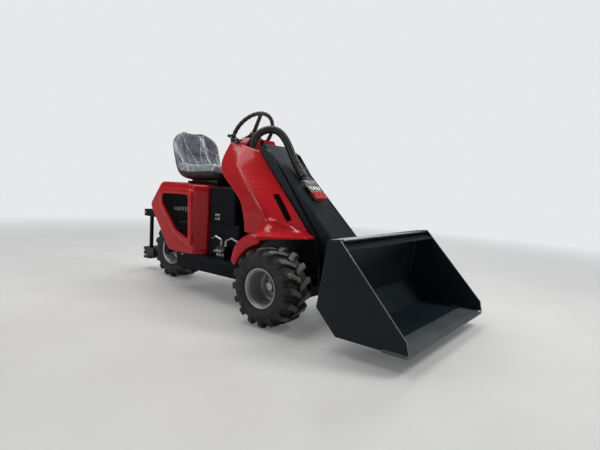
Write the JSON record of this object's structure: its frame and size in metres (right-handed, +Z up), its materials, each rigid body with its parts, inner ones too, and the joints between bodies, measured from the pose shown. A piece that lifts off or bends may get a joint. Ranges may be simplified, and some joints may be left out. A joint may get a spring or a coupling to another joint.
{
  "type": "mini wheel loader",
  "caption": "Compact ride-on wheel loader with a steered rear wheel, a seat over the engine and a boom with a wide open bucket.",
  "frame": {"origin": "on the floor, on the centre plane, under the middle of the machine's length", "axes": "+X forward to the bucket, +Y to the machine's left, +Z up"},
  "size_m": [2.846, 1.096, 1.3359],
  "materials": {
    "red_paint": "gloss",
    "grey_paint": "satin",
    "edge_paint": "satin",
    "black_paint": "satin",
    "black_steel": "satin",
    "mesh_black": "matte",
    "rod_chrome": "polished",
    "bright_steel": "satin",
    "rim_silver": "satin",
    "tyre_rubber": "matte",
    "black_plastic": "satin",
    "cap_red": "satin",
    "seat_vinyl": "satin",
    "hose_sleeve": "satin",
    "engine_iron": "matte"
  },
  "bodies": {
    "chassis": {"chassis_frame": "black_paint", "boom_tower": "grey_paint", "rear_bridge": "black_paint", "hitch_block": "black_steel", "engine_block": "engine_iron", "rear_engine_cover": "red_paint", "grille_left": "mesh_black", "grille_right": "mesh_black", "oil_tank": "black_paint", "battery_box": "black_paint", "front_cover_left": "red_paint", "front_cover_right": "red_paint", "dash_cowl": "red_paint", "steering_column": "black_paint", "control_levers": "black_plastic", "seat_base": "black_paint", "seat_cushion": "seat_vinyl", "seat_backrest": "seat_vinyl", "step_plate_left": "black_paint", "step_plate_right": "black_paint", "valve_block": "black_steel", "steel_pipes": "bright_steel", "wheel_motor_left": "black_steel", "wheel_motor_right": "black_steel", "hose_gland": "black_paint", "hose_bundle": "hose_sleeve"},
    "front_left_wheel": {"front_left_tyre": "tyre_rubber", "front_left_rim": "rim_silver"},
    "front_right_wheel": {"front_right_tyre": "tyre_rubber", "front_right_rim": "rim_silver"},
    "rear_fork": {"rear_fork": "black_paint"},
    "rear_wheel": {"rear_tyre": "tyre_rubber", "rear_rim": "rim_silver"},
    "boom": {"boom_arm": "grey_paint", "quick_couplers": "bright_steel", "coupler_caps": "cap_red"},
    "bucket": {"quick_attach_frame": "grey_paint", "bucket_shell": "grey_paint", "cutting_edge": "edge_paint"},
    "lift_barrel": {"lift_cylinder_barrel": "black_steel"},
    "lift_rod": {"lift_cylinder_rod": "rod_chrome"},
    "tilt_barrel": {"tilt_cylinder_barrel": "black_steel"},
    "tilt_rod": {"tilt_cylinder_rod": "rod_chrome"},
    "steering_wheel": {"steering_wheel": "black_plastic"}
  },
  "joints": [
    {"name": "front_left_wheel_spin", "type": "hinge", "parent": "chassis", "child": "front_left_wheel", "pos_m": [0.5, 0.44, 0.23], "axis": [0, 1, 0], "continuous": true},
    {"name": "front_right_wheel_spin", "type": "hinge", "parent": "chassis", "child": "front_right_wheel", "pos_m": [0.5, -0.44, 0.23], "axis": [0, 1, 0], "continuous": true},
    {"name": "rear_steer", "type": "hinge", "parent": "chassis", "child": "rear_fork", "pos_m": [-0.94, 0, 0.52], "axis": [0, 0, 1], "range_deg": [-50, 50]},
    {"name": "rear_wheel_spin", "type": "hinge", "parent": "rear_fork", "child": "rear_wheel", "pos_m": [-0.94, 0, 0.23], "axis": [0, 1, 0], "continuous": true},
    {"name": "boom_lift", "type": "hinge", "parent": "chassis", "child": "boom", "pos_m": [0.13, 0, 1], "axis": [0, -1, 0], "range_deg": [-3.5, 62], "deforming": ["hose_bundle"]},
    {"name": "bucket_tilt", "type": "hinge", "parent": "boom", "child": "bucket", "pos_m": [0.84978, 0, 0.30005], "axis": [0, -1, 0], "range_deg": [-60, 35]},
    {"name": "lift_barrel_swing", "type": "hinge", "parent": "chassis", "child": "lift_barrel", "pos_m": [0.2, 0, 0.24], "axis": [0, -1, 0], "range_deg": [-5, 0.5]},
    {"name": "lift_rod_slide", "type": "slide", "parent": "lift_barrel", "child": "lift_rod", "axis": [0.2149, 0, 0.9766], "range_m": [-0.0185, 0.3225]},
    {"name": "tilt_barrel_swing", "type": "hinge", "parent": "boom", "child": "tilt_barrel", "pos_m": [0.42433, 0, 0.68588], "axis": [0, -1, 0], "range_deg": [-1, 1]},
    {"name": "tilt_rod_slide", "type": "slide", "parent": "tilt_barrel", "child": "tilt_rod", "axis": [0.6252, 0, -0.7804], "range_m": [-0.0895, 0.0525]},
    {"name": "steering_wheel_turn", "type": "hinge", "parent": "chassis", "child": "steering_wheel", "pos_m": [-0.128, 0, 1.177], "axis": [0.829, 0, -0.5592], "range_deg": [-305, 305]}
  ],
  "couplings": [
    {"joint": "lift_barrel_swing", "follows": "boom_lift", "ratio": -0.0745},
    {"joint": "lift_rod_slide", "follows": "boom_lift", "m_per_rad": 0.29708},
    {"joint": "tilt_barrel_swing", "follows": "bucket_tilt", "ratio": 0.012},
    {"joint": "tilt_rod_slide", "follows": "bucket_tilt", "m_per_rad": 0.085},
    {"joint": "steering_wheel_turn", "follows": "rear_steer", "ratio": 6}
  ]
}
